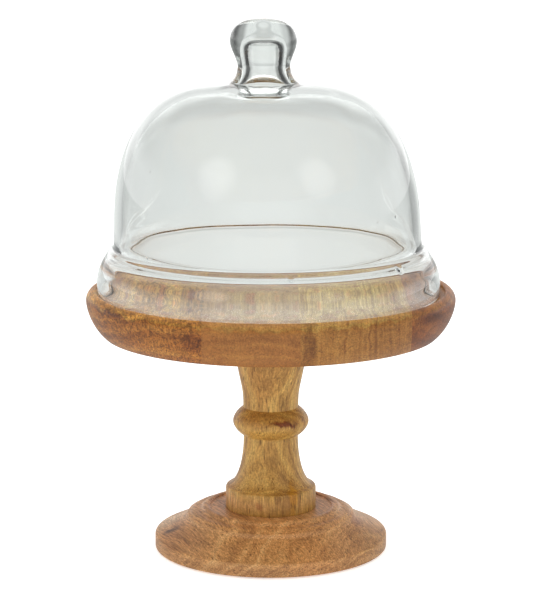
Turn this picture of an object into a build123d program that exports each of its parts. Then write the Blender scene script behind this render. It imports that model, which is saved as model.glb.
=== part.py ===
from build123d import *

import os
from math import cos, radians, sin

# A wooden cake stand with a blown glass dome that lifts straight off it.
# Millimetres, +Z up. The origin is on the stand's axis, at the level it stands on.

# ---- driving dimensions -------------------------------------------------------------

# heights up the axis
pad_height = 1.0  # felt dots, under the base
shoulder_z = 11.0  # top of the base's upright edge
tier_z = 26.0  # side of the base's raised tier
bead_z = 34.8  # crest of the bead round the column's seat
seat_z = 33.6  # floor that the column stands on
collar_z = 49.6  # top of the column's straight collar
plate_z = 180.8  # underside of the plate
floor_z = 212.5  # sunk floor of the plate, where cake and dome stand
lip_z = 216.0  # crest of the plate's lip
corner_z = 250.6  # corner where the dome's wall meets its flange
crown_z = 383.4  # top of the dome, at the root of the knob
knob_z = 434.2  # top of the knob

# radii
base_r = 95.3
tier_r = 68.6
seat_r = 50.0
collar_r = 37.0
waist_r = 22.3
ring_r = 31.0
column_top_r = 30.0
plate_r = 149.7
lip_r = 143.0
recess_r = 141.2
underside_r = 136.2
dome_r = 124.3
flange_r = 139.0
side_glass = 6.6  # wall of the dome, beside a cake
crown_glass = 7.4  # over a cake
foot_glass = 4.8  # at the ground foot
knob_cap = 15.8  # over the knob's hollow
hollow_r = 12.5  # widest part of the knob's hollow
hollow_neck_r = 11.6  # narrowest part of it
knob_waist_r = 21.0
knob_waist_z = 397.0
knob_r = 26.75
knob_wide_z = 416.5

# the plate's boards, between glue lines that run front to back
board_edges = [-plate_r - 1, -52.6, 22.4, 109.0, plate_r + 1]

# fixings
tenon_r = 16.0
tenon_length = 14.0
insert_r = 6.0
insert_length = 13.0
bolt_r = 4.0
bolt_wood_length = 36.0
bolt_insert_length = 11.0
screw_r = 2.75
screw_length = 48.0
screw_head_r = 6.0
screw_recess = 0.4  # head and washer sit this far inside the base
driver_slot = (6.4, 1.4, 2.0)
washer_r = 9.0
washer_height = 3.8
pad_r = 8.0
pad_circle_r = 76.0
pad_count = 4

os.makedirs("parts", exist_ok=True)


def finish(part, name):
    """Names a finished piece and writes it as its own STEP file."""
    part.label = name
    export_step(part, f"parts/{name}.step")


# ---- glass dome with its blown knob, one piece of glass ------------------------------

# The dome's body is a squared-off half ellipse: upright at the corner, level at the crown.
across_power = 2 / 3.39
up_power = 2 / 2.48


def body_curve(half_width, rise, last):
    """Points on the dome's section from just above the corner up to a turn out of 90 degrees."""
    turns = [radians(body_start + (last - body_start) * i / body_steps) for i in range(body_steps + 1)]
    return [(half_width * cos(t) ** across_power, corner_z + rise * sin(t) ** up_power) for t in turns]


body_start = 2.6
body_steps = 9
# both curves end beside the root of the knob
outer_body = body_curve(dome_r, crown_z - corner_z, 85.4)
inner_body = body_curve(dome_r - side_glass, crown_z - crown_glass - corner_z, 86.6)

with BuildPart() as glass_dome:
    with BuildSketch(Plane.XZ):
        with BuildLine():
            # the flange, from the ground foot up to the corner
            foot = Line((flange_r - foot_glass, floor_z), (flange_r - 1.8, floor_z))
            foot_edge = TangentArc(foot @ 1, (flange_r - 0.2, floor_z + 1.9), tangent=foot % 1)
            flange = Spline(
                foot_edge @ 1,
                (flange_r, floor_z + 8),
                (flange_r - 2.4, floor_z + 22),
                (flange_r - 7.7, floor_z + 32),
                (dome_r + 3.0, corner_z - 1.4),
                tangents=(foot_edge % 1, (-1, 0.5)),
            )
            corner = Spline(flange @ 1, outer_body[0], tangents=(flange % 1, (0, 1)))
            wall = Spline(*outer_body, tangents=((0, 1), (-1, 0.04)))
            # the knob: a flared root, a waist and a round head
            root = Spline(
                wall @ 1, (24.8, 385.3), (knob_waist_r, knob_waist_z), tangents=((-1, 0.05), (0, 1))
            )
            head = Spline(
                root @ 1, (23.2, 404.3), (knob_r, knob_wide_z), tangents=((0.15, 1), (0, 1))
            )
            head_top = Spline(
                head @ 1, (23.0, 427.0), (12.0, knob_z - 1.2), (0, knob_z), tangents=((0, 1), (-1, 0))
            )
            # the hollow of the knob, open to the dome
            axis_line = Line(head_top @ 1, (0, knob_z - knob_cap))
            hollow_top = Spline(
                axis_line @ 1, (8.6, knob_wide_z + 1.1), (11.6, knob_wide_z - 0.9), (hollow_r, knob_wide_z - 5),
                tangents=((1, 0), (0, -1)),
            )
            hollow = Spline(
                hollow_top @ 1, (hollow_neck_r, knob_waist_z - 3), (15.6, 381.5), inner_body[-1],
                tangents=((0, -1), (1, -0.05)),
            )
            inner_wall = Spline(*reversed(inner_body), tangents=((1, -0.04), (0, -1)))
            inner_corner = Spline(
                inner_wall @ 1, (119.2, 253.0), (122.0, corner_z - 2.1), tangents=((0, -1), (1, -0.8))
            )
            inner_flange = Spline(
                inner_corner @ 1,
                (flange_r - 8.6, floor_z + 25.5),
                (flange_r - 6.8, floor_z + 17.0),
                foot @ 0,
                tangents=((1, -0.8), (0, -1)),
            )
        make_face()
    revolve(axis=Axis.Z)
finish(glass_dome.part, "glass_dome")


# ---- plate: edge-glued boards, turned to one round dish ------------------------------

with BuildSketch(Plane.XZ) as plate_section:
    with BuildLine():
        underside = Line((0, plate_z), (underside_r, plate_z))
        side = Spline(
            underside @ 1,
            (141.0, 186.0),
            (147.2, 197.2),
            (plate_r, 208.5),
            tangents=((1, 0.9), (0.02, 1)),
        )
        lip = Spline(
            side @ 1, (147.6, 213.8), (lip_r, lip_z), tangents=((0, 1), (-1, 0))
        )
        lip_inside = TangentArc(lip @ 1, (recess_r, lip_z - 1.8), tangent=(-1, 0))
        Polyline(lip_inside @ 1, (recess_r, floor_z), (0, floor_z), (0, plate_z))
    make_face()

for number, (left, right) in enumerate(zip(board_edges, board_edges[1:]), start=1):
    with BuildPart() as board:
        revolve(plate_section.sketch, axis=Axis.Z)
        with Locations(((left + right) / 2, 0, (plate_z + lip_z) / 2)):
            Box(right - left, 3 * plate_r, plate_r, mode=Mode.INTERSECT)
        if left < 0 < right:
            with Locations(Plane((0, 0, plate_z), z_dir=(0, 0, -1))):
                Hole(insert_r, insert_length)
    finish(board.part, f"plate_board_{number}")


# ---- column: one turning with a tenon at its foot -------------------------------------

with BuildPart() as column:
    with BuildSketch(Plane.XZ):
        with BuildLine():
            Polyline(
                (0, seat_z - tenon_length),
                (tenon_r, seat_z - tenon_length),
                (tenon_r, seat_z),
                (collar_r, seat_z),
                (collar_r, collar_z),
            )
            round_over = ThreePointArc(
                (collar_r, collar_z), (collar_r - 0.7, collar_z + 1.8), (collar_r - 2.4, collar_z + 2.7)
            )
            sweep_up = Spline(
                round_over @ 1, (29.6, 57.2), (25.2, 68.0), (waist_r, 94.2), tangents=((-1, 0.4), (0, 1))
            )
            ring = Spline(
                sweep_up @ 1, (28.8, 100.2), (ring_r, 106.1), (28.8, 112.0), (waist_r + 0.3, 118.0),
                tangents=((1, 0.7), (-1, 0.7)),
            )
            Spline(
                ring @ 1, (23.0, 129.0), (25.4, 142.0), (28.4, 159.0), (column_top_r, plate_z),
                tangents=((0, 1), (0.1, 1)),
            )
            Polyline((column_top_r, plate_z), (0, plate_z), (0, seat_z - tenon_length))
        make_face()
    revolve(axis=Axis.Z)
    with Locations((0, 0, plate_z)):
        Hole(bolt_r, bolt_wood_length)
    with Locations(Plane((0, 0, seat_z - tenon_length), z_dir=(0, 0, -1))):
        Hole(screw_r, screw_length - (seat_z - tenon_length - pad_height))
finish(column.part, "column")


# ---- base: one turned disc with a raised tier, a bead and a seat for the column -------

with BuildPart() as base_disc:
    with BuildSketch(Plane.XZ):
        with BuildLine():
            Polyline((0, pad_height), (base_r - 0.8, pad_height), (base_r, pad_height + 0.8), (base_r, shoulder_z))
            edge = ThreePointArc(
                (base_r, shoulder_z), (base_r - 0.3, shoulder_z + 0.8), (base_r - 1.1, shoulder_z + 1.4)
            )
            shoulder = Spline(
                edge @ 1, (89.5, 14.5), (81.0, 18.2), (74.5, 21.5), (tier_r + 1.0, tier_z - 1.2),
                tangents=((-1, 0.5), (-1, 0.8)),
            )
            cove = ThreePointArc(shoulder @ 1, (tier_r + 0.2, tier_z - 0.3), (tier_r, tier_z + 1.4))
            tier_edge = ThreePointArc(cove @ 1, (tier_r - 0.4, tier_z + 2.4), (tier_r - 1.5, tier_z + 3.0))
            tier_top = Spline(
                tier_edge @ 1, (64.6, 30.6), (59.8, 31.4), tangents=((-1, 0.35), (-1, -0.05))
            )
            bead_start = Spline(
                tier_top @ 1, (57.4, 32.3), (54.6, bead_z), tangents=((-1, 0.1), (-1, 0.2))
            )
            bead_end = Spline(
                bead_start @ 1, (51.4, 34.9), (seat_r, seat_z), tangents=((-1, 0.2), (-0.1, -1))
            )
            Polyline(bead_end @ 1, (tenon_r, seat_z), (tenon_r, seat_z - tenon_length))
            Polyline((tenon_r, seat_z - tenon_length), (0, seat_z - tenon_length), (0, pad_height))
        make_face()
    revolve(axis=Axis.Z)
    with Locations(Plane((0, 0, pad_height), z_dir=(0, 0, -1))):
        CounterBoreHole(screw_r + 0.4, washer_r + 0.5, washer_height)
finish(base_disc.part, "base_disc")


# ---- fixings ---------------------------------------------------------------------------

# threaded insert, screwed into the plate's underside
with BuildPart() as plate_insert:
    with BuildSketch(Plane.XY.offset(plate_z)):
        Circle(insert_r)
    extrude(amount=insert_length)
    with Locations(Plane((0, 0, plate_z), z_dir=(0, 0, -1))):
        Hole(bolt_r, bolt_insert_length)
finish(plate_insert.part, "plate_insert")

# hanger bolt: a wood thread with a point in the column, a machine thread in the insert
with BuildPart() as hanger_bolt:
    with BuildSketch(Plane.XY.offset(plate_z - bolt_wood_length)):
        Circle(bolt_r)
    extrude(amount=bolt_wood_length + bolt_insert_length)
    chamfer(hanger_bolt.faces().sort_by(Axis.Z)[0].edges(), length=5, length2=3)
    chamfer(hanger_bolt.faces().sort_by(Axis.Z)[-1].edges(), length=0.8)
finish(hanger_bolt.part, "hanger_bolt")

# cup washer that sinks the screw's head below the base
head_z = pad_height + screw_recess
with BuildPart() as cup_washer:
    with BuildSketch(Plane.XY.offset(head_z)):
        Circle(washer_r)
    extrude(amount=washer_height - screw_recess)
    fillet(cup_washer.faces().sort_by(Axis.Z)[0].edges(), radius=1.0)
    with Locations(Plane((0, 0, head_z), z_dir=(0, 0, -1))):
        CounterSinkHole(screw_r, screw_head_r, counter_sink_angle=90)
finish(cup_washer.part, "cup_washer")

# countersunk wood screw, up through the base into the column's tenon
head_cone = screw_head_r - screw_r
with BuildPart() as base_screw:
    with BuildSketch(Plane.XZ):
        with BuildLine():
            point = pad_height + screw_length
            Polyline(
                (0, head_z),
                (screw_head_r, head_z),
                (screw_r, head_z + head_cone),
                (screw_r, point - 8),
                (0, point),
                (0, head_z),
            )
        make_face()
    revolve(axis=Axis.Z)
    slot_length, slot_width, slot_depth = driver_slot
    with BuildSketch(Plane.XY.offset(head_z)):
        Rectangle(slot_length, slot_width)
        Rectangle(slot_width, slot_length)
    extrude(amount=slot_depth, mode=Mode.SUBTRACT)
finish(base_screw.part, "base_screw")


# ---- felt pads --------------------------------------------------------------------------

pad_places = PolarLocations(pad_circle_r, pad_count, start_angle=45)
for number, place in enumerate(pad_places, start=1):
    with BuildPart() as felt_pad:
        with Locations(place):
            Cylinder(pad_r, pad_height, align=(Align.CENTER, Align.CENTER, Align.MIN))
    finish(felt_pad.part, f"felt_pad_{number}")
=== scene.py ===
import math

import bmesh
import bpy
import numpy as np
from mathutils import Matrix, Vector


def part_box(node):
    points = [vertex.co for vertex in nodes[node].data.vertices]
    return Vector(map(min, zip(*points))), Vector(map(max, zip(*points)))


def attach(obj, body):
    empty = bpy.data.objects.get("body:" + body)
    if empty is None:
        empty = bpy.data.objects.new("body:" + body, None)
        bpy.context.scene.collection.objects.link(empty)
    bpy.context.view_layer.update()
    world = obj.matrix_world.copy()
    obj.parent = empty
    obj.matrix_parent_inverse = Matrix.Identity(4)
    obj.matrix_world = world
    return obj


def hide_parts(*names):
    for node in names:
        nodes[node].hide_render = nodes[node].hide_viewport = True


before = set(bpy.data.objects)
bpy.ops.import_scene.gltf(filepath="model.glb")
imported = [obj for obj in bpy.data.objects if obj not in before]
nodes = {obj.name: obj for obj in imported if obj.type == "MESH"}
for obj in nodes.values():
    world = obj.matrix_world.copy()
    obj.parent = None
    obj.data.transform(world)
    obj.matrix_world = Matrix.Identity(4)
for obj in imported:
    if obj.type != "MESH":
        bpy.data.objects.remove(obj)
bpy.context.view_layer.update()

MM = 0.001
SAME_POINT = 1e-4  # in millimetres


# ---- sizes, from the frame ---------------------------------------------------------------

dome_low, dome_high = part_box("glass_dome")
column_low, column_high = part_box("column")
base_low, base_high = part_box("base_disc")
board_names = [f"plate_board_{n}" for n in range(1, 5)]
board_boxes = [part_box(name) for name in board_names]

floor_z = dome_low.z / MM
knob_z = dome_high.z / MM
plate_z = column_high.z / MM
plate_r = max(-low.y for low, high in board_boxes) / MM
lip_z = max(high.z for low, high in board_boxes) / MM
glue_lines = [high.x / MM for low, high in board_boxes[:-1]]
collar_r = column_high.x / MM
column_foot_z = column_low.z / MM
base_r = base_high.x / MM
base_z = base_low.z / MM


# ---- curves and turned solids ------------------------------------------------------------

def smooth(points, start, end, steps):
    """About steps points on the smooth curve through points, which leaves along start and arrives
    along end."""
    p = np.array(points, float)
    chord = np.linalg.norm(np.diff(p, axis=0), axis=1)
    whole = np.cumsum(chord)[-1]
    n = len(p)
    a = np.zeros((n, n))
    b = np.zeros((n, 2))
    a[0, 0] = a[-1, -1] = 1
    b[0] = np.array(start, float) / np.linalg.norm(start)
    b[-1] = np.array(end, float) / np.linalg.norm(end)
    for i in range(1, n - 1):
        before, after = chord[i - 1], chord[i]
        a[i, i - 1 : i + 2] = after, 2 * (before + after), before
        b[i] = 3 * (after * (p[i] - p[i - 1]) / before + before * (p[i + 1] - p[i]) / after)
    slope = np.linalg.solve(a, b)
    made = []
    for i in range(n - 1):
        share = max(4, round(steps * chord[i] / whole))
        for s in np.linspace(0, 1, share, endpoint=False):
            made.append(
                (2 * s**3 - 3 * s**2 + 1) * p[i]
                + (s**3 - 2 * s**2 + s) * chord[i] * slope[i]
                + (3 * s**2 - 2 * s**3) * p[i + 1]
                + (s**3 - s**2) * chord[i] * slope[i + 1]
            )
    return made + [p[-1]]


def arc(first, bulge, last, steps=6):
    """A short rounded corner from first to last, bent towards bulge."""
    a, m, b = (np.array(v, float) for v in (first, bulge, last))
    return [(1 - s) ** 2 * a + 2 * s * (1 - s) * m + s**2 * b for s in np.linspace(0, 1, steps)]


def line(first, last, steps):
    """Evenly spaced points on the straight line from first to last."""
    a, b = np.array(first, float), np.array(last, float)
    return [a + (b - a) * s for s in np.linspace(0, 1, steps)]


def joined(*runs):
    """One outline from runs that follow each other, with no point twice."""
    made = []
    for run in runs:
        for p in run:
            if not made or np.linalg.norm(np.array(p) - made[-1]) > SAME_POINT:
                made.append(np.array(p, float))
    return np.array(made)


def turned(name, outline, turns, moved=None):
    """A closed solid of revolution in metres, of turns facets round.

    The outline starts and ends on the axis, in millimetres. moved may shift the points.
    """
    inner = outline[1:-1]
    angle = np.arange(turns) * 2 * math.pi / turns
    x = inner[:, :1] * np.cos(angle)
    y = inner[:, :1] * np.sin(angle)
    z = np.repeat(inner[:, 1:], turns, axis=1)
    points = np.stack([x, y, z], -1).reshape(-1, 3)
    ends = np.array([[0, 0, outline[0][1]], [0, 0, outline[-1][1]]], float)
    points = np.concatenate([points, ends])
    if moved is not None:
        points = moved(points)
    rows = len(inner)
    faces = []
    for r in range(rows - 1):
        for k in range(turns):
            n = (k + 1) % turns
            faces.append((r * turns + k, r * turns + n, (r + 1) * turns + n, (r + 1) * turns + k))
    first, last = rows * turns, rows * turns + 1
    for k in range(turns):
        n = (k + 1) % turns
        faces.append((first, n, k))
        faces.append((last, (rows - 1) * turns + k, (rows - 1) * turns + n))
    mesh = bpy.data.meshes.new(name)
    mesh.from_pydata((points * MM).tolist(), [], faces)
    return mesh


def tidy_normals(mesh, sharp_degrees):
    """Turns the faces outwards, and shades them smooth except over edges that are sharper."""
    b = bmesh.new()
    b.from_mesh(mesh)
    bmesh.ops.recalc_face_normals(b, faces=b.faces)
    b.to_mesh(mesh)
    b.free()
    mesh.shade_smooth()
    mesh.set_sharp_from_angle(angle=math.radians(sharp_degrees))


def shown(name, mesh, material, body, node):
    """A piece that stands for a CAD node and moves with its body."""
    mesh.materials.append(material)
    piece = bpy.data.objects.new(name, mesh)
    bpy.context.scene.collection.objects.link(piece)
    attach(piece, body)
    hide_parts(node)
    return piece


# ---- shader helpers ----------------------------------------------------------------------

class Shader:
    """Adds and joins nodes of one material or world."""

    # the sockets of a Mix node that mixes colours
    SHARE, COLOUR_A, COLOUR_B, MIXED = 0, 6, 7, 2

    def __init__(self, name, world=False):
        self.material = (bpy.data.worlds if world else bpy.data.materials).new(name)
        self.material.use_nodes = True
        self.tree = self.material.node_tree
        self.tree.nodes.clear()

    def add(self, kind, inputs=None, **settings):
        node = self.tree.nodes.new(kind)
        for key, value in settings.items():
            setattr(node, key, value)
        for key, value in (inputs or {}).items():
            socket = node.inputs[key]
            if isinstance(value, bpy.types.NodeSocket):
                self.tree.links.new(value, socket)
            else:
                socket.default_value = value
        return node

    def object_point(self):
        """The shaded point in the object's own axes."""
        return self.add("ShaderNodeTexCoord").outputs["Object"]

    def math(self, operation, a, b, c=0.0):
        return self.add("ShaderNodeMath", {0: a, 1: b, 2: c}, operation=operation).outputs[0]

    def vector(self, operation, a, b=(0, 0, 0)):
        return self.add("ShaderNodeVectorMath", {0: a, 1: b}, operation=operation).outputs[0]

    def measure(self, operation, a, b=(0, 0, 0)):
        """The vector operations that give a number: LENGTH, DISTANCE and DOT_PRODUCT."""
        node = self.add("ShaderNodeVectorMath", {0: a, 1: b}, operation=operation)
        return node.outputs["Value"]

    def drawn_out(self, point, share):
        """Squeezes Z, so that a texture is stretched by 1 / share along it."""
        return self.vector("MULTIPLY", point, (1, 1, share))

    def grey(self, value):
        return self.add("ShaderNodeCombineColor", {0: value, 1: value, 2: value}).outputs[0]

    def noise(self, at, scale, detail, roughness, distortion=0.0):
        return self.add(
            "ShaderNodeTexNoise",
            {
                "Vector": at,
                "Scale": scale,
                "Detail": detail,
                "Roughness": roughness,
                "Distortion": distortion,
            },
        )

    def between(self, value, low, high, to_low=0.0, to_high=1.0):
        """value eased from to_low to to_high as it goes from low to high."""
        node = self.add(
            "ShaderNodeMapRange",
            {
                "Value": value,
                "From Min": low,
                "From Max": high,
                "To Min": to_low,
                "To Max": to_high,
            },
            interpolation_type="SMOOTHSTEP",
        )
        return node.outputs["Result"]

    def mix(self, share, a, b, blend="MIX"):
        node = self.add("ShaderNodeMix", data_type="RGBA", blend_type=blend, clamp_factor=True)
        for index, value in ((self.SHARE, share), (self.COLOUR_A, a), (self.COLOUR_B, b)):
            if isinstance(value, bpy.types.NodeSocket):
                self.tree.links.new(value, node.inputs[index])
            elif index == self.SHARE:
                node.inputs[index].default_value = value
            else:
                node.inputs[index].default_value = (*value, 1.0)
        return node.outputs[self.MIXED]

    def ramp(self, value, stops):
        """A colour ramp. stops are (position, colour)."""
        node = self.add("ShaderNodeValToRGB", {"Fac": value})
        elements = node.color_ramp.elements
        while len(elements) < len(stops):
            elements.new(0.5)
        for element, (position, colour) in zip(elements, stops):
            element.position = position
            element.color = (*colour, 1.0)
        return node.outputs["Color"]


def srgb(red, green, blue):
    """A linear colour from the usual 0 to 255 values."""
    def one(v):
        v /= 255
        return v / 12.92 if v <= 0.04045 else ((v + 0.055) / 1.055) ** 2.4
    return one(red), one(green), one(blue)


# ---- wood --------------------------------------------------------------------------------

MID_GREY = (0.5, 0.5, 0.5)  # the mean of a noise's colour
FIBRE_SWAY = (0.022, 0.022, 0.015)  # in metres
RAGGED_EDGE = (0.014, 0.014, 0.014)  # in metres


def wood(
    name, light, middle, dark, grain, pith, ring, *, mottle, fibre, pore, fleck=0.0, marks, seed
):
    """Oiled mango wood as a solid texture.

    grain turns the object's axes so that Z runs along the fibres; pith is where the rings are
    centred across it and ring their spacing, in metres. mottle, fibre, pore and fleck say how
    strongly each kind of figure shows, and seed picks another part of the same wood. marks are
    stains, knots, painted shade and painted light: (centre, size, colour, strength), in the
    object's own axes.
    """
    s = Shader(name)
    here = s.object_point()
    along = s.add("ShaderNodeMapping", {"Vector": here, "Rotation": grain}).outputs["Vector"]
    apart = s.vector("ADD", along, (3.1 * seed, 1.7 * seed, 2.3 * seed))

    # slow waviness of the fibres, longer along the grain than across it
    slow = s.drawn_out(apart, 0.35)
    bend = s.noise(slow, 16, 3, 0.55).outputs["Color"]
    bend = s.vector("MULTIPLY", s.vector("SUBTRACT", bend, MID_GREY), FIBRE_SWAY)
    bent = s.vector("ADD", apart, bend)

    # growth rings: distance from the pith, run through a one-dimensional noise
    from_pith = s.vector("SUBTRACT", s.vector("ADD", along, bend), (*pith, 0))
    radius = s.measure("LENGTH", s.drawn_out(from_pith, 0.04))
    rings = s.add(
        "ShaderNodeTexNoise",
        {"W": s.math("DIVIDE", radius, ring), "Scale": 1.0, "Detail": 3.0, "Roughness": 0.65},
        noise_dimensions="1D",
    ).outputs["Fac"]

    # fibres: fine streaks along the grain
    fine = s.drawn_out(bent, 0.05)
    streaks = s.noise(fine, 950, 3, 0.7).outputs["Fac"]
    broad = s.noise(fine, 210, 2, 0.6).outputs["Fac"]

    # pores: short dark vessels in patches, dots where the grain ends
    vessel = s.add(
        "ShaderNodeTexVoronoi", {"Vector": s.drawn_out(bent, 0.20), "Scale": 430.0}, feature="F1"
    )
    near_vessel = s.between(vessel.outputs["Distance"], 0.10, 0.36, 1.0, 0.0)
    patchy = s.noise(slow, 60, 2, 0.5).outputs["Fac"]
    some = s.between(s.math("ADD", vessel.outputs["Color"], patchy), 0.80, 1.10)
    pores = s.math("MULTIPLY", near_vessel, some)

    # rays: short flecks that point at the pith where the grain ends
    parts = s.add("ShaderNodeSeparateXYZ", {0: from_pith}).outputs
    turn = s.math("MULTIPLY", s.math("ARCTAN2", parts["Y"], parts["X"]), 110.0)
    outwards, lengthwise = s.math("MULTIPLY", radius, 260.0), s.math("MULTIPLY", parts["Z"], 90.0)
    ray_at = s.add("ShaderNodeCombineXYZ", {0: turn, 1: outwards, 2: lengthwise})
    flecks = s.noise(ray_at.outputs[0], 1.0, 2, 0.65).outputs["Fac"]

    # clouds of colour
    cloud = s.noise(slow, 26, 4, 0.62).outputs["Fac"]
    speck = s.noise(bent, 640, 3, 0.75).outputs["Fac"]

    def shaded(colour, value, low, high, darker, lighter):
        shade = s.grey(s.between(value, low, high, darker, lighter))
        return s.mix(1.0, colour, shade, "MULTIPLY")

    tone = s.math("MULTIPLY_ADD", rings, 0.62, s.math("MULTIPLY", broad, 0.38))
    tone = s.math("ADD", tone, s.math("MULTIPLY", s.math("SUBTRACT", cloud, 0.5), 0.55))
    colour = s.ramp(tone, [(0.30, dark), (0.5, middle), (0.70, light)])
    warm = s.between(s.noise(slow, 9, 2, 0.5).outputs["Fac"], 0.42, 0.66)
    warmer = s.mix(1.0, colour, srgb(255, 222, 196), "MULTIPLY")
    colour = s.mix(s.math("MULTIPLY", warm, 0.35), colour, warmer)
    colour = shaded(colour, streaks, 0.32, 0.68, 1.0 - 0.5 * fibre, 1.0 + 0.25 * fibre)
    colour = shaded(colour, speck, 0.34, 0.62, 1.0 - 0.5 * mottle, 1.0 + 0.22 * mottle)
    colour = shaded(colour, flecks, 0.38, 0.56, 1.0 - 0.5 * fleck, 1.0 + 0.12 * fleck)
    deep = tuple(c * 0.30 for c in dark)
    colour = s.mix(s.math("MULTIPLY", pores, pore), colour, deep)

    # stains, knots, painted shade and painted light, ragged at the edge
    ragged = s.vector("SUBTRACT", s.noise(slow, 90, 3, 0.6).outputs["Color"], MID_GREY)
    ragged = s.vector("MULTIPLY", ragged, RAGGED_EDGE)
    for centre, size, tint, strength in marks:
        off = s.vector("SUBTRACT", s.vector("ADD", here, ragged), centre)
        far = s.measure("LENGTH", s.vector("DIVIDE", off, size))
        share = s.math("MULTIPLY", s.between(far, 0.35, 1.1, 1.0, 0.0), strength)
        colour = s.mix(share, colour, s.mix(1.0, colour, tint, "MULTIPLY"))

    height = s.math("SUBTRACT", s.math("MULTIPLY", streaks, 0.35), s.math("MULTIPLY", pores, 0.9))
    bump = s.add("ShaderNodeBump", {"Height": height, "Strength": 0.35, "Distance": 0.00025})
    shine = s.math("ADD", streaks, s.math("MULTIPLY", cloud, 0.5))
    surface = s.add(
        "ShaderNodeBsdfPrincipled",
        {
            "Base Color": colour,
            "Roughness": s.between(shine, 0.5, 1.1, 0.46, 0.34),
            "Normal": bump.outputs["Normal"],
            "Specular IOR Level": 0.38,
        },
    )
    s.add("ShaderNodeOutputMaterial", {"Surface": surface.outputs["BSDF"]})
    return s.material


ALONG_Y = (math.radians(90), 0, 0)
ALONG_Z = (0, 0, 0)


# ---- glass -------------------------------------------------------------------------------

# (centre, radius, height in mm): a loop and a bubble on the flange, and seeds in the wall
BLOWING_MARKS = (
    ((0.1000, -0.0801, 0.2465), 0.0055, 0.6),
    ((0.0153, -0.1285, 0.2469), 0.0030, 0.5),
    ((-0.0960, -0.0823, 0.2547), 0.0022, 0.5),
    ((-0.0935, -0.0734, 0.3215), 0.0014, 0.3),
    ((0.0973, -0.0706, 0.2858), 0.0016, 0.3),
    ((0.0826, -0.0882, 0.2840), 0.0014, 0.3),
)


def clear_glass():
    """Greenish glass with slow ripples and the few blowing marks."""
    s = Shader("blown_glass")
    here = s.object_point()
    height = s.math("MULTIPLY", s.noise(here, 22, 1, 0.4).outputs["Fac"], 0.35)
    for centre, radius, tall in BLOWING_MARKS:
        far = s.measure("DISTANCE", here, centre)
        height = s.math("ADD", height, s.between(far, 0.0, radius, tall, 0.0))
    rippled = s.add("ShaderNodeBump", {"Height": height, "Strength": 1.0, "Distance": MM})
    surface = s.add(
        "ShaderNodeBsdfPrincipled",
        {
            "Base Color": (0.985, 0.995, 0.99, 1.0),
            "Roughness": 0.0,
            "IOR": 1.5,
            "Transmission Weight": 1.0,
            "Normal": rippled.outputs["Normal"],
        },
    )
    absorb = s.add(
        "ShaderNodeVolumeAbsorption", {"Color": (0.62, 0.72, 0.66, 1.0), "Density": 4.0}
    )
    s.add(
        "ShaderNodeOutputMaterial",
        {"Surface": surface.outputs["BSDF"], "Volume": absorb.outputs["Volume"]},
    )
    return s.material


# the dome's sizes in millimetres, and the powers that square off its half ellipse
dome_r = 124.3
corner_z = 250.6
crown_z = 383.4
inner_r = 117.7
inner_crown_z = 376.0
flange_r = 139.0
across_power = 2 / 3.39
up_power = 2 / 2.48
off_axis, lean = 1.7, 4.6


def body_curve(half_width, crown, first, last, steps):
    """The squared-off half ellipse of the dome's body, upright at its corner, level at its crown."""
    turn = np.radians(np.linspace(first, last, steps))
    r = half_width * np.cos(turn) ** across_power
    z = corner_z + (crown - corner_z) * np.sin(turn) ** up_power
    return list(np.stack([r, z], 1))


def dome_outline():
    outer = body_curve(dome_r, crown_z, first=2.6, last=85.4, steps=90)
    inner = body_curve(inner_r, inner_crown_z, first=14.0, last=86.6, steps=90)
    knob_side, neck = (26.75, 416.5), (21.0, 397.0)
    wall_foot, crease = (dome_r + 0.3, corner_z + 2.2), (dome_r + 3.0, corner_z - 1.4)
    flange_side = (flange_r - 0.2, floor_z + 1.9)
    foot_out, foot_in = (flange_r - 1.8, floor_z), (flange_r - 4.8, floor_z)
    hollow_side = (12.5, 411.5)
    outside = joined(
        smooth([(0, knob_z), (12.0, knob_z - 1.2), (23.0, 427.0), knob_side], (1, 0), (0, -1), 26),
        smooth([knob_side, (23.2, 404.3), neck], (0, -1), (-0.15, -1), 16),
        smooth([neck, (24.8, 385.3), outer[-1]], (0, -1), (1, -0.05), 16),
        outer[::-1],
        line(outer[0], wall_foot, 4),
        arc(wall_foot, (dome_r + 0.7, corner_z - 0.1), crease, 8),
        smooth(
            [
                crease,
                (flange_r - 7.7, floor_z + 32),
                (flange_r - 2.4, floor_z + 22),
                (flange_r, floor_z + 8),
                flange_side,
            ],
            (1, -0.5), (0, -1), 44,
        ),
        arc(flange_side, (flange_r - 0.3, floor_z), foot_out),
    )
    inside = joined(
        line(foot_out, foot_in, 4),
        smooth(
            [
                foot_in, (133.6, 222), (131.8, 231), (130.4, 238), (126.7, 244), (121.8, 248.5),
                (119.2, 253), (117.9, 260), (117.2, 272), inner[0],
            ],
            (0, 1), inner[1] - inner[0], 80,
        ),
        inner,
        smooth([inner[-1], (15.6, 381.5), (11.6, 394.0), hollow_side], (-1, 0.05), (0, 1), 40),
        smooth([hollow_side, (11.6, 415.6), (8.6, 417.6), (0, 418.4)], (0, 1), (-1, 0), 24),
    )
    return joined(outside, inside)


def hand_blown(points):
    """Sets the dome slightly off the plate's axis, and leans and ripples it, as blown by mouth."""
    x, y, z = points.T
    up = np.clip((z - floor_z) / (knob_z - floor_z), 0, 1)
    round_z = np.arctan2(y, x)
    r = np.hypot(x, y)
    # the ripple fades towards the foot, which has to sit flat, and towards the crown
    above = np.clip((z - floor_z - 2) / 30, 0, 1)
    near_wall = np.clip((r - 60) / 60, 0, 1) * above
    out = near_wall * (
        0.35 * np.cos(2 * round_z + 0.8 + 0.01 * z)
        + 0.22 * np.cos(3 * round_z - 1.1 + 0.03 * z)
        + 0.10 * np.sin(0.11 * z + 2 * round_z)
    )
    scale = 1 + out / np.maximum(r, 1)
    x = x * scale - off_axis - lean * up
    y = y * scale
    return np.stack([x, y, z], 1)


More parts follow.
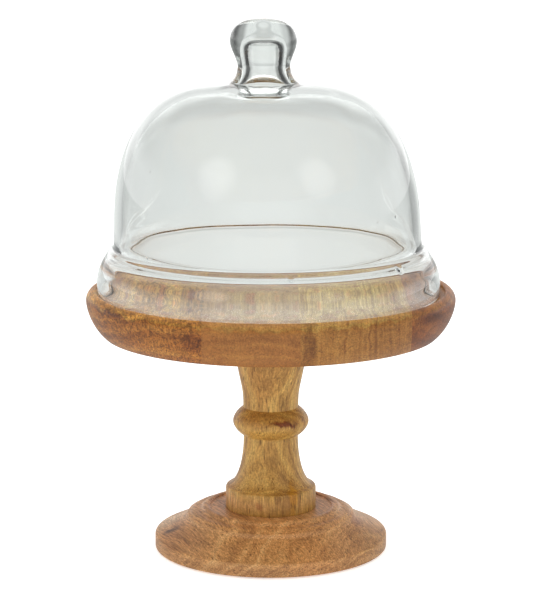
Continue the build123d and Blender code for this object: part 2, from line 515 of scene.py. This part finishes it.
dome_mesh = turned("glass_dome_blown", dome_outline(), 384, hand_blown)
tidy_normals(dome_mesh, 80)
glass_piece = shown("dome_glass", dome_mesh, clear_glass(), "dome", "glass_dome")
glass_piece.visible_shadow = False
glass_piece.visible_diffuse = False


# ---- plate boards ------------------------------------------------------------------------

def plate_outline():
    lip_r, recess_r, underside_r = 143.0, 141.2, 136.2
    underside, widest = (underside_r, plate_z), (plate_r, 208.5)
    return joined(
        line((0, plate_z), underside, 12),
        smooth([underside, (141.0, 186.0), (147.2, 197.2), widest], (1, 0.9), (0.02, 1), 36),
        smooth([widest, (147.6, 213.8), (lip_r, lip_z)], (0, 1), (-1, 0), 20),
        arc((lip_r, lip_z), (recess_r, lip_z), (recess_r, lip_z - 1.8)),
        line((recess_r, lip_z - 1.8), (recess_r, floor_z + 0.4), 3),
        arc((recess_r, floor_z + 0.4), (recess_r, floor_z), (recess_r - 0.4, floor_z), 4),
        line((recess_r - 0.4, floor_z), (0, floor_z), 14),
    )


def board_mesh(name, left, right):
    """The turned plate between two glue lines."""
    whole = turned(name, plate_outline(), 480)
    b = bmesh.new()
    b.from_mesh(whole)
    for x, side in ((left, -1), (right, 1)):
        if abs(x) >= plate_r:
            continue
        found = bmesh.ops.bisect_plane(
            b, geom=b.verts[:] + b.edges[:] + b.faces[:], dist=1e-7,
            plane_co=(x * MM, 0, 0), plane_no=(side, 0, 0), clear_outer=True,
        )
        cut = [e for e in found["geom_cut"] if isinstance(e, bmesh.types.BMEdge)]
        bmesh.ops.contextual_create(b, geom=cut)
    b.to_mesh(whole)
    b.free()
    tidy_normals(whole, 30)
    return whole


cuts = [-plate_r, *glue_lines, plate_r]

# Broad tints over the sunk floor and the lip, tuned to the photograph's colours there.
# They stand in for light as well as for the wood's own colour, and are not stains it shows.
SUNK_FLOOR, SUNK_FLOOR_SIZE = (0, 0, 0.2125), (0.20, 0.20, 0.0026)
under_dome = (SUNK_FLOOR, SUNK_FLOOR_SIZE, (0.98, 1.42, 1.70), 0.9)
under_dome_middle = (SUNK_FLOOR, SUNK_FLOOR_SIZE, (0.74, 1.04, 1.20), 0.9)
on_lip = ((0, 0, 0.2166), (0.35, 0.35, 0.0062), (1.50, 1.82, 2.10), 0.9)

board_woods = [
    wood(
        "board_mottled", srgb(178, 120, 47), srgb(157, 97, 33), srgb(124, 69, 20), ALONG_Y,
        (-0.06, -0.02), 0.011, mottle=0.9, fibre=0.5, pore=0.7, fleck=0.75, seed=0.3,
        marks=[
            under_dome,
            on_lip,
            # painted shade: a darker band on the rim's outer side, just under the lip, on the left
            ((-0.125, -0.075, 0.2105), (0.030, 0.04, 0.0028), (0.55, 0.44, 0.34), 0.9),
            ((-0.060, -0.137, 0.200), (0.010, 0.02, 0.012), (0.60, 0.48, 0.40), 0.8),
        ],
    ),
    wood(
        "board_flat_sawn", srgb(160, 107, 46), srgb(148, 94, 39), srgb(131, 80, 30), ALONG_Y,
        (-0.01, -0.02), 0.0070, mottle=0.45, fibre=0.4, pore=0.35, fleck=0.15, seed=1.1,
        marks=[under_dome_middle, on_lip],
    ),
    wood(
        "board_quarter_sawn", srgb(166, 117, 52), srgb(151, 101, 41), srgb(125, 76, 27), ALONG_Y,
        (-0.45, -0.19), 0.0028, mottle=0.45, fibre=0.6, pore=0.4, fleck=0.1, seed=2.4,
        marks=[
            under_dome,
            on_lip,
            ((0.0285, -0.147, 0.195), (0.0065, 0.02, 0.04), (0.55, 0.45, 0.38), 0.85),
        ],
    ),
    wood(
        "board_narrow", srgb(138, 84, 29), srgb(127, 72, 23), srgb(101, 53, 14), ALONG_Y,
        (0.05, -0.08), 0.009, mottle=0.6, fibre=0.5, pore=0.5, fleck=0.4, seed=3.7,
        marks=[
            under_dome,
            on_lip,
            # painted shade: a darker band on the rim's outer side, just under the lip, on the right
            ((0.125, -0.078, 0.207), (0.03, 0.03, 0.005), (0.50, 0.40, 0.33), 0.85),
        ],
    ),
]
for index, name in enumerate(board_names):
    mesh = board_mesh(name + "_turned", cuts[index], cuts[index + 1])
    shown(f"board_{index + 1}", mesh, board_woods[index], "stand", name)


# ---- column ------------------------------------------------------------------------------

seat_z = column_foot_z + 14.0
tenon_r = 16.0


def column_outline():
    collar_top, waist_r, top_r = 49.6, 22.3, 30.0
    collar_edge = (collar_r - 2.4, collar_top + 2.7)
    below_ring, above_ring = (waist_r, 94.2), (waist_r + 0.3, 118.0)
    return joined(
        line((0, column_foot_z), (tenon_r, column_foot_z), 3),
        line((tenon_r, column_foot_z), (tenon_r, seat_z), 3),
        line((tenon_r, seat_z), (collar_r - 0.4, seat_z), 4),
        arc((collar_r - 0.4, seat_z), (collar_r, seat_z), (collar_r, seat_z + 0.4), 4),
        line((collar_r, seat_z + 0.4), (collar_r, collar_top), 10),
        arc((collar_r, collar_top), (collar_r, collar_top + 2.4), collar_edge, 8),
        smooth([collar_edge, (29.6, 57.2), (25.2, 68.0), below_ring], (-1, 0.4), (0, 1), 44),
        smooth(
            [below_ring, (28.8, 100.2), (31.0, 106.1), (28.8, 112.0), above_ring],
            (1, 0.7), (-1, 0.7), 44,
        ),
        smooth(
            [above_ring, (23.0, 129.0), (25.4, 142.0), (28.4, 159.0), (top_r, plate_z)],
            (0, 1), (0.1, 1), 48,
        ),
        line((top_r, plate_z), (0, plate_z), 4),
    )


column_wood = wood(
    "column_wood", srgb(205, 166, 88), srgb(184, 140, 69), srgb(147, 105, 48), ALONG_Z,
    (0.012, 0.09), 0.0040, mottle=0.4, fibre=0.7, pore=0.75, seed=5.2,
    marks=[
        ((0.010, -0.03, 0.1085), (0.016, 0.02, 0.0028), (0.38, 0.16, 0.08), 0.95),
        ((0.0, 0.0, 0.110), (0.045, 0.045, 0.006), (0.80, 0.66, 0.56), 0.8),
        ((-0.006, 0.0, 0.042), (0.050, 0.045, 0.014), (1.26, 1.08, 1.75), 0.9),
        ((-0.010, -0.036, 0.041), (0.004, 0.01, 0.005), (0.70, 0.50, 0.45), 0.8),
        ((0.018, -0.030, 0.050), (0.0045, 0.014, 0.020), (1.0, 0.84, 0.30), 0.95),
    ],
)
column_mesh = turned("column_turned", column_outline(), 256)
tidy_normals(column_mesh, 38)
shown("column_turning", column_mesh, column_wood, "stand", "column")


# ---- base --------------------------------------------------------------------------------

def base_outline():
    shoulder_z, tier_z, bead_z, tier_r, seat_r = 11.0, 26.0, 34.8, 68.6, 50.0
    cup_r, cup_z = 9.5, base_z + 3.8
    shoulder, tier_foot = (base_r - 1.1, shoulder_z + 1.4), (tier_r + 1.0, tier_z - 1.2)
    tier_side, tier_top = (tier_r, tier_z + 1.4), (tier_r - 1.5, tier_z + 3.0)
    bead_foot, bead_top = (59.8, 31.4), (54.6, bead_z)
    return joined(
        line((0, cup_z + 0.2), (cup_r, cup_z), 3),
        line((cup_r, cup_z), (cup_r, base_z), 3),
        line((cup_r, base_z), (base_r - 0.8, base_z), 10),
        arc((base_r - 0.8, base_z), (base_r, base_z), (base_r, base_z + 0.8), 5),
        line((base_r, base_z + 0.8), (base_r, shoulder_z), 6),
        arc((base_r, shoulder_z), (base_r - 0.1, shoulder_z + 1.0), shoulder, 7),
        smooth(
            [shoulder, (89.5, 14.5), (81.0, 18.2), (74.5, 21.5), tier_foot],
            (-1, 0.5), (-1, 0.8), 34,
        ),
        arc(tier_foot, (tier_r, tier_z - 0.6), tier_side, 6),
        arc(tier_side, (tier_r, tier_z + 2.9), tier_top, 6),
        smooth([tier_top, (64.6, 30.6), bead_foot], (-1, 0.35), (-1, -0.05), 14),
        smooth([bead_foot, (57.4, 32.3), bead_top], (-1, 0.1), (-1, 0.2), 12),
        smooth([bead_top, (51.4, 34.9), (seat_r, seat_z)], (-1, 0.2), (-0.1, -1), 12),
        line((seat_r, seat_z), (tenon_r, seat_z), 8),
        line((tenon_r, seat_z), (tenon_r, column_foot_z), 3),
        line((tenon_r, column_foot_z), (0, column_foot_z), 3),
    )


base_wood = wood(
    "base_wood", srgb(221, 176, 116), srgb(201, 151, 93), srgb(169, 122, 74),
    (math.radians(90), math.radians(23), 0), (0.05, 0.10), 0.0060,
    mottle=0.5, fibre=0.8, pore=0.7, seed=7.9,
    marks=[
        ((-0.083, -0.018, 0.021), (0.011, 0.007, 0.012), (0.14, 0.12, 0.15), 0.95),
        ((0.068, -0.010, 0.024), (0.012, 0.016, 0.010), (0.62, 0.44, 0.36), 0.7),
        # broad tints over the ends of the shoulder and the upright edge, tuned to the photograph;
        # all four are painted light and shade
        # painted glare on the left end of the shoulder
        ((-0.088, 0.015, 0.017), (0.022, 0.030, 0.010), (1.0, 1.2, 1.5), 0.8),
        # painted shade on the right end of the shoulder
        ((0.080, -0.030, 0.017), (0.030, 0.045, 0.014), (0.76, 0.68, 0.52), 0.9),
        # painted shade on the front left of the shoulder
        ((-0.078, -0.040, 0.017), (0.026, 0.040, 0.014), (0.92, 0.86, 0.78), 0.9),
        # painted shade on the upright edge, all round
        ((0, 0, 0.0035), (0.2, 0.2, 0.010), (0.74, 0.69, 0.69), 1.0),
    ],
)
base_mesh = turned("base_turned", base_outline(), 360)
tidy_normals(base_mesh, 38)
shown("base_turning", base_mesh, base_wood, "stand", "base_disc")


# ---- metal and felt ----------------------------------------------------------------------

def metal(name, colour, roughness):
    s = Shader(name)
    here = s.object_point()
    squeezed = s.add("ShaderNodeMapping", {"Vector": here, "Scale": (1, 1, 6)})
    marks = s.noise(squeezed.outputs["Vector"], 700, 2, 0.6).outputs["Fac"]
    gloss = s.between(marks, 0.3, 0.7, roughness - 0.08, roughness + 0.12)
    bump = s.add("ShaderNodeBump", {"Height": marks, "Strength": 0.2, "Distance": 0.0001})
    dull = s.between(s.noise(here, 160, 3, 0.6).outputs["Fac"], 0.35, 0.7)
    tint = s.mix(dull, colour, tuple(c * 0.82 for c in colour))
    surface = s.add(
        "ShaderNodeBsdfPrincipled",
        {"Base Color": tint, "Metallic": 1.0, "Roughness": gloss, "Normal": bump.outputs["Normal"]},
    )
    s.add("ShaderNodeOutputMaterial", {"Surface": surface.outputs["BSDF"]})
    return s.material


def felt(name, colour):
    s = Shader(name)
    hair = s.noise(s.object_point(), 2600, 4, 0.7, 2.0).outputs["Fac"]
    darker, lighter = tuple(c * 0.6 for c in colour), tuple(c * 1.5 for c in colour)
    bump = s.add("ShaderNodeBump", {"Height": hair, "Strength": 0.8, "Distance": 0.0004})
    surface = s.add(
        "ShaderNodeBsdfPrincipled",
        {
            "Base Color": s.ramp(hair, [(0.3, darker), (0.7, lighter)]),
            "Roughness": 0.95,
            "Sheen Weight": 0.5,
            "Sheen Roughness": 0.5,
            "Normal": bump.outputs["Normal"],
        },
    )
    s.add("ShaderNodeOutputMaterial", {"Surface": surface.outputs["BSDF"]})
    return s.material


def repaint(node, material):
    nodes[node].data.materials.clear()
    nodes[node].data.materials.append(material)


steel = metal("zinc_plated_steel", (0.62, 0.62, 0.64), 0.34)
brass = metal("brass", (0.75, 0.58, 0.30), 0.32)
pad_felt = felt("pad_felt", srgb(92, 70, 56))
for name in ("hanger_bolt", "base_screw", "cup_washer"):
    repaint(name, steel)
repaint("plate_insert", brass)
for n in range(1, 5):
    repaint(f"felt_pad_{n}", pad_felt)


# ---- floor, light and camera -------------------------------------------------------------

BEYOND_GLASS = (0.86, 0.885, 0.872)  # what a ray that has gone through glass sees
FLOOR_REACH, FLOOR_DROP = 30.0, 0.0002  # in metres; the floor lies just under the pads
LAMPS_AIM_AT = Vector((0, 0, 0.22))


def darker_sides(s, x):
    """Dark screens left and right of the backdrop, whose light this gives as 1 down to nearly 0.

    x is the sideways part of the direction: 1 to the right of the stand, -1 to its left.
    """
    right_edge = s.between(x, 0.32, 0.48, 1.0, 0.45)
    right_end = s.between(x, 0.50, 0.75, 1.0, 0.14)
    left_edge = s.between(x, -0.50, -0.34, 0.75, 1.0)
    left_end = s.between(x, -0.75, -0.52, 0.14, 1.0)
    right = s.math("MULTIPLY", right_edge, right_end)
    return s.math("MULTIPLY", right, s.math("MULTIPLY", left_edge, left_end))


def stage_floor():
    mesh = bpy.data.meshes.new("floor")
    far = FLOOR_REACH
    corners = [(-far, -far, 0), (far, -far, 0), (far, far, 0), (-far, far, 0)]
    mesh.from_pydata(corners, [], [(0, 1, 2, 3)])
    s = Shader("floor_white")
    matt = s.add("ShaderNodeBsdfDiffuse", {"Color": (0.9, 0.9, 0.9, 1.0)})
    glow = s.add("ShaderNodeEmission", {"Color": (1, 1, 1, 1), "Strength": 0.5})
    bright = s.add("ShaderNodeAddShader", {0: matt.outputs[0], 1: glow.outputs[0]})
    # a ray that glass or a shiny surface has sent on sees the backdrop's light on the floor
    away = s.vector("NORMALIZE", s.object_point())
    dimmed = darker_sides(s, s.add("ShaderNodeSeparateXYZ", {0: away}).outputs["X"])
    ray = s.add("ShaderNodeLightPath")
    straight = s.math("LESS_THAN", ray.outputs["Transmission Depth"], 0.5)
    seen = s.math("MAXIMUM", dimmed, s.math("MULTIPLY", straight, 0.85))
    beyond = s.add("ShaderNodeEmission", {"Color": (*BEYOND_GLASS, 1.0), "Strength": seen})
    is_refracted, is_glossy = ray.outputs["Is Transmission Ray"], ray.outputs["Is Glossy Ray"]
    sent_on = s.math("MAXIMUM", is_refracted, is_glossy)
    either = s.add("ShaderNodeMixShader", {0: sent_on, 1: bright.outputs[0], 2: beyond.outputs[0]})
    # nothing is seen of the floor from below it, so that the underside can be looked at
    below = s.add("ShaderNodeNewGeometry").outputs["Backfacing"]
    clear = s.add("ShaderNodeBsdfTransparent")
    one_sided = s.add("ShaderNodeMixShader", {0: below, 1: either.outputs[0], 2: clear.outputs[0]})
    s.add("ShaderNodeOutputMaterial", {"Surface": one_sided.outputs[0]})
    mesh.materials.append(s.material)
    floor = bpy.data.objects.new("floor", mesh)
    bpy.context.scene.collection.objects.link(floor)
    floor.location.z = -FLOOR_DROP


def soft_world():
    """White behind the stand. The rest of the studio, which glass bends into view, is darker."""
    s = Shader("studio", world=True)
    where = s.add("ShaderNodeTexCoord").outputs["Generated"]
    split = s.add("ShaderNodeSeparateXYZ", {0: where})
    x, y, z = (split.outputs[k] for k in "XYZ")

    # seen through glass
    low_band, high_band = s.between(z, 0.0, 0.07, 1.0, 0.78), s.between(z, 0.10, 0.17, 0.78, 1.0)
    horizon = s.math("MAXIMUM", low_band, high_band)
    sweep = s.math("MULTIPLY", horizon, s.between(z, 0.45, 0.60, 1.0, 0.36))
    front = s.between(y, -0.3, 0.3, 0.75, 1.0)
    bent = s.math("MULTIPLY", s.math("MULTIPLY", sweep, darker_sides(s, x)), front)
    bent_colour = s.mix(1.0, BEYOND_GLASS, s.grey(bent), "MULTIPLY")

    # mirrored, with two glowing patches in front: (azimuth, height in degrees, strength)
    behind = s.between(y, -0.1, 0.3, 0.5, 1.5)
    mirrored = s.math("MULTIPLY", behind, s.between(z, 0.14, 0.34, 1.0, 0.40))
    for azimuth, height, strength in ((-41, 27, 2.0), (43, 27, 1.7)):
        a, h = math.radians(azimuth), math.radians(height)
        towards = (math.sin(a) * math.cos(h), -math.cos(a) * math.cos(h), math.sin(h))
        facing = s.measure("DOT_PRODUCT", where, towards)
        mirrored = s.math("ADD", mirrored, s.between(facing, 0.95, 0.999, 0.0, strength))

    ray = s.add("ShaderNodeLightPath")
    light = s.grey(s.between(y, -1.0, 0.6, 0.7, 1.0))
    colour = s.mix(ray.outputs["Is Diffuse Ray"], (1, 1, 1), light)
    colour = s.mix(ray.outputs["Is Glossy Ray"], colour, s.grey(mirrored))
    colour = s.mix(ray.outputs["Is Transmission Ray"], colour, bent_colour)

    # light that the wood mirrors, seen through the dome: in and out of its wall both ways
    sheen = s.grey(s.math("MULTIPLY", behind, 1.65))
    off_wood = s.math("GREATER_THAN", ray.outputs["Glossy Depth"], 0.5)
    both_ways = s.math("GREATER_THAN", ray.outputs["Transmission Depth"], 3.5)
    low = s.math("MULTIPLY", s.between(z, 0.0, 0.07), s.between(z, 0.34, 0.46, 1.0, 0.0))
    off_wood = s.math("MULTIPLY", off_wood, low)
    colour = s.mix(s.math("MULTIPLY", off_wood, both_ways), colour, sheen)
    background = s.add("ShaderNodeBackground", {"Color": colour, "Strength": 1.0})
    s.add("ShaderNodeOutputWorld", {"Surface": background.outputs[0]})
    bpy.context.scene.world = s.material


def softbox(name, place, size, power):
    """An area lamp that is neither mirrored nor seen through glass."""
    light = bpy.data.lights.new(name, "AREA")
    light.shape = "RECTANGLE"
    light.size, light.size_y = size
    light.energy = power
    lamp = bpy.data.objects.new(name, light)
    lamp.location = place
    away = LAMPS_AIM_AT - Vector(place)
    lamp.rotation_euler = away.to_track_quat("-Z", "Y").to_euler()
    lamp.visible_glossy = False
    lamp.visible_transmission = False
    bpy.context.scene.collection.objects.link(lamp)


def photo_camera():
    """The camera that was fitted to the photograph's ellipses."""
    target_z, distance, elevation = 0.2062, 2.0, math.radians(11.1)
    data = bpy.data.cameras.new("camera")
    data.sensor_width = 36.0
    data.lens = 147.8
    data.shift_x = 0.0028
    camera = bpy.data.objects.new("camera", data)
    back = Vector((0, -math.cos(elevation), math.sin(elevation)))
    camera.location = Vector((0, 0, target_z)) + back * distance
    camera.rotation_euler = (-back).to_track_quat("-Z", "Y").to_euler()
    bpy.context.scene.collection.objects.link(camera)
    bpy.context.scene.camera = camera


stage_floor()
soft_world()
softbox("key_left", (-1.1, -1.7, 1.5), (0.9, 1.2), 6)
softbox("fill_right", (1.3, -1.5, 1.3), (0.9, 1.2), 3)
softbox("top", (0, 0.3, 2.2), (2.0, 2.0), 14)
photo_camera()

scene = bpy.context.scene
scene.view_settings.view_transform = "Standard"
scene.cycles.caustics_refractive = False
scene.cycles.caustics_reflective = False
scene.cycles.transmission_bounces = 16
scene.cycles.glossy_bounces = 16
scene.cycles.max_bounces = 20
